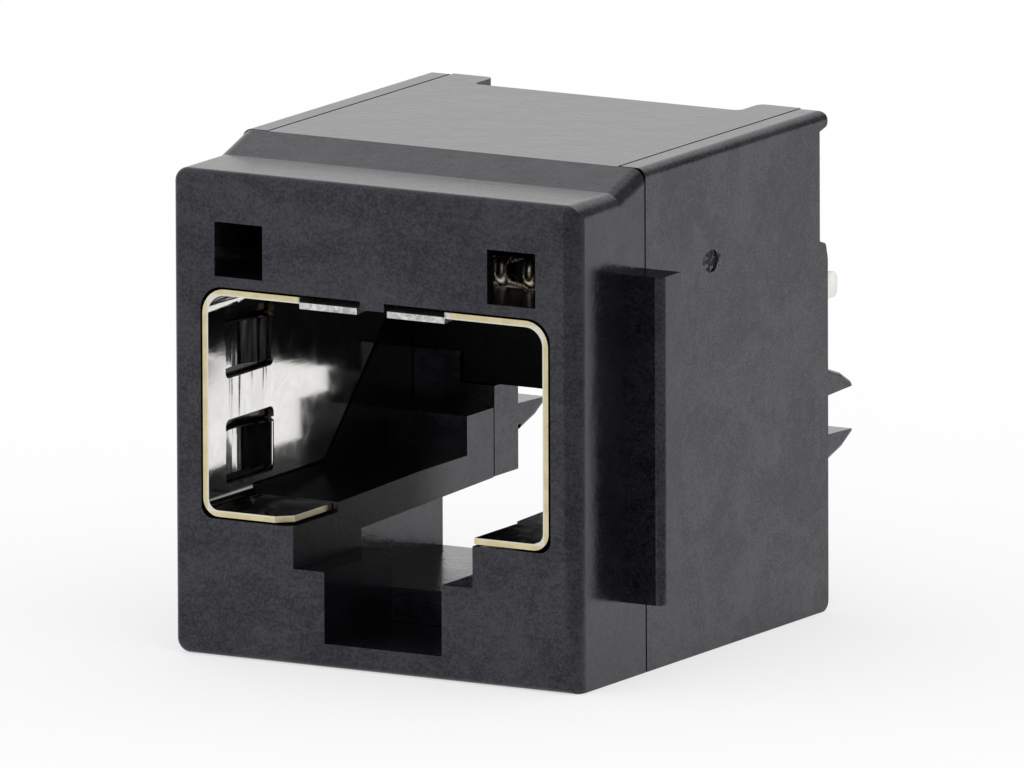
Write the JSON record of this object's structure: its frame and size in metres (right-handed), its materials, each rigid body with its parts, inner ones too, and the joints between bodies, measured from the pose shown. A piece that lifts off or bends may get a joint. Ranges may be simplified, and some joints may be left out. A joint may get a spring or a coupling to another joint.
{
  "type": "rj45 board jack",
  "caption": "Shielded modular jack for a circuit board: black housing with panel stops and latch keyway, rear shell with split board locks, spring contacts on an insert, folded shield halves.",
  "frame": {"origin": "middle of the bounding box at the bottom, on the plane of the latch-side face that the jack rests on", "axes": "+Y is the way the plug goes in, from the front face to the board; +Z is from the latch side to the contact side; +X is to the right seen from the front"},
  "size_m": [0.017, 0.0188, 0.0159],
  "materials": {
    "housing_plastic": "fine moulded texture, slight sheen",
    "shell_plastic": "fine moulded texture, slight sheen",
    "insert_plastic": "moulded, dull",
    "shield_plating": "nickel plated sheet with bare copper alloy on its cut edges",
    "contact_metal": "plated spring wire, polished"
  },
  "bodies": {
    "root": {"front_housing": "housing_plastic", "rear_shell": "shell_plastic", "contact_insert": "insert_plastic", "shield_left": "shield_plating", "shield_right": "shield_plating", "contact_1": "contact_metal", "contact_2": "contact_metal", "contact_3": "contact_metal", "contact_4": "contact_metal", "contact_5": "contact_metal", "contact_6": "contact_metal", "contact_7": "contact_metal", "contact_8": "contact_metal"}
  },
  "joints": []
}
